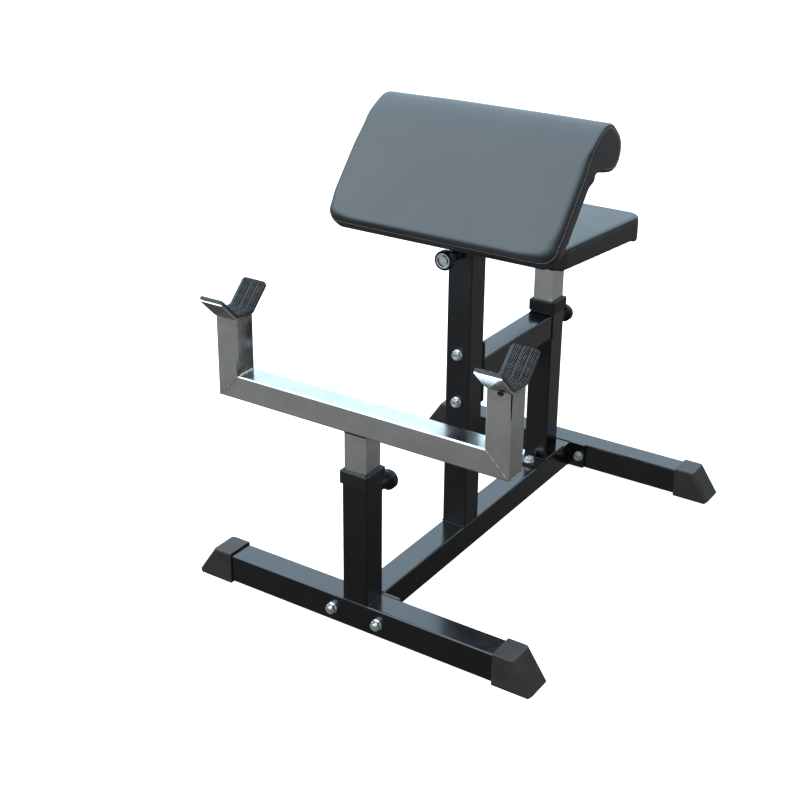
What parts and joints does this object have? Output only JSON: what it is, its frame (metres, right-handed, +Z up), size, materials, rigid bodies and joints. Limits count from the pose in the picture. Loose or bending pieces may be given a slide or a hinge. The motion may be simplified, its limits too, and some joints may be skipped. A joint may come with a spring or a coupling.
{
  "type": "preacher curl bench",
  "caption": "Preacher curl bench: black tube frame with a sloped arm pad, a small seat and a plated bar rack, each on a pinned height-adjustable stem.",
  "frame": {"origin": "on the floor, under the middle of the bench's bounding box", "axes": "+Z up, X across the bench, +Y from the bar rack towards the seat"},
  "size_m": [0.706, 0.8756, 0.8536],
  "materials": {
    "frame_paint": "semi-gloss black powder coat",
    "foot_rubber": "matte dark grey moulded",
    "collar_plastic": "matte black moulded",
    "zinc_fastener": "zinc plated",
    "plated_steel": "satin plated, weld beads left plain",
    "liner_rubber": "moulded diamond tread",
    "pad_vinyl": "black vinyl, fine grain, slight gloss",
    "pad_plywood": "dark stained plywood",
    "pin_steel": "plain turned",
    "knob_plastic": "gloss black, fluted rim",
    "knob_disc": "grey insert disc"
  },
  "bodies": {
    "frame": {"front_cross_tube": "frame_paint", "rear_cross_tube": "frame_paint", "base_beam": "frame_paint", "base_front_flange": "frame_paint", "base_rear_flange": "frame_paint", "front_post": "frame_paint", "main_upright": "frame_paint", "seat_beam": "frame_paint", "seat_beam_flange": "frame_paint", "seat_post": "frame_paint", "seat_post_foot_plate": "frame_paint", "rack_pin_housing": "frame_paint", "pad_pin_housing": "frame_paint", "seat_pin_housing": "frame_paint", "front_left_foot": "foot_rubber", "front_right_foot": "foot_rubber", "rear_left_foot": "foot_rubber", "rear_right_foot": "foot_rubber", "rack_collar": "collar_plastic", "pad_collar": "collar_plastic", "seat_collar": "collar_plastic", "frame_bolts": "zinc_fastener", "frame_nuts": "zinc_fastener", "frame_washers": "zinc_fastener"},
    "rack": {"rack_stem": "plated_steel", "rack_cross_tube": "plated_steel", "rack_upright_left": "plated_steel", "rack_upright_right": "plated_steel", "rack_cradle_left": "plated_steel", "rack_cradle_right": "plated_steel", "rack_liner_left": "liner_rubber", "rack_liner_right": "liner_rubber"},
    "pad": {"pad_stem": "plated_steel", "pad_bracket": "frame_paint", "arm_pad_board": "pad_plywood", "arm_pad": "pad_vinyl", "pad_bolts": "zinc_fastener", "pad_washers": "zinc_fastener", "pad_tee_nuts": "zinc_fastener"},
    "seat": {"seat_stem": "plated_steel", "seat_plate": "frame_paint", "seat_board": "pad_plywood", "seat_pad": "pad_vinyl", "seat_bolts": "zinc_fastener", "seat_washers": "zinc_fastener", "seat_tee_nuts": "zinc_fastener"},
    "rack_pin": {"rack_pin_plunger": "pin_steel", "rack_pin_spring": "pin_steel"},
    "rack_knob": {"rack_pin_knob": "knob_plastic", "rack_pin_disc": "knob_disc"},
    "pad_pin": {"pad_pin_plunger": "pin_steel", "pad_pin_spring": "pin_steel"},
    "pad_knob": {"pad_pin_knob": "knob_plastic", "pad_pin_disc": "knob_disc"},
    "seat_pin": {"seat_pin_plunger": "pin_steel", "seat_pin_spring": "pin_steel"},
    "seat_knob": {"seat_pin_knob": "knob_plastic", "seat_pin_disc": "knob_disc"}
  },
  "joints": [
    {"name": "rack_height", "type": "slide", "parent": "frame", "child": "rack", "axis": [0, 0, 1], "range_m": [-0.05, 0.1]},
    {"name": "pad_height", "type": "slide", "parent": "frame", "child": "pad", "axis": [0, 0, 1], "range_m": [0, 0.15]},
    {"name": "seat_height", "type": "slide", "parent": "frame", "child": "seat", "axis": [0, 0, 1], "range_m": [-0.075, 0.075]},
    {"name": "rack_pin_pull", "type": "slide", "parent": "frame", "child": "rack_pin", "axis": [0, 1, 0], "range_m": [0, 0.008], "stiffness_N_per_m": 1000, "springref_m": -0.012, "deforming": ["rack_pin_spring"]},
    {"name": "rack_knob_turn", "type": "hinge", "parent": "rack_pin", "child": "rack_knob", "pos_m": [0, -0.37816, 0.253], "axis": [0, 1, 0], "continuous": true},
    {"name": "pad_pin_pull", "type": "slide", "parent": "frame", "child": "pad_pin", "axis": [0, -1, 0], "range_m": [0, 0.008], "stiffness_N_per_m": 1000, "springref_m": -0.012, "deforming": ["pad_pin_spring"]},
    {"name": "pad_knob_turn", "type": "hinge", "parent": "pad_pin", "child": "pad_knob", "pos_m": [0, -0.04816, 0.607], "axis": [0, -1, 0], "continuous": true},
    {"name": "seat_pin_pull", "type": "slide", "parent": "frame", "child": "seat_pin", "axis": [0, 1, 0], "range_m": [0, 0.008], "stiffness_N_per_m": 1000, "springref_m": -0.012, "deforming": ["seat_pin_spring"]},
    {"name": "seat_knob_turn", "type": "hinge", "parent": "seat_pin", "child": "seat_knob", "pos_m": [0, 0.27884, 0.355], "axis": [0, 1, 0], "continuous": true}
  ]
}
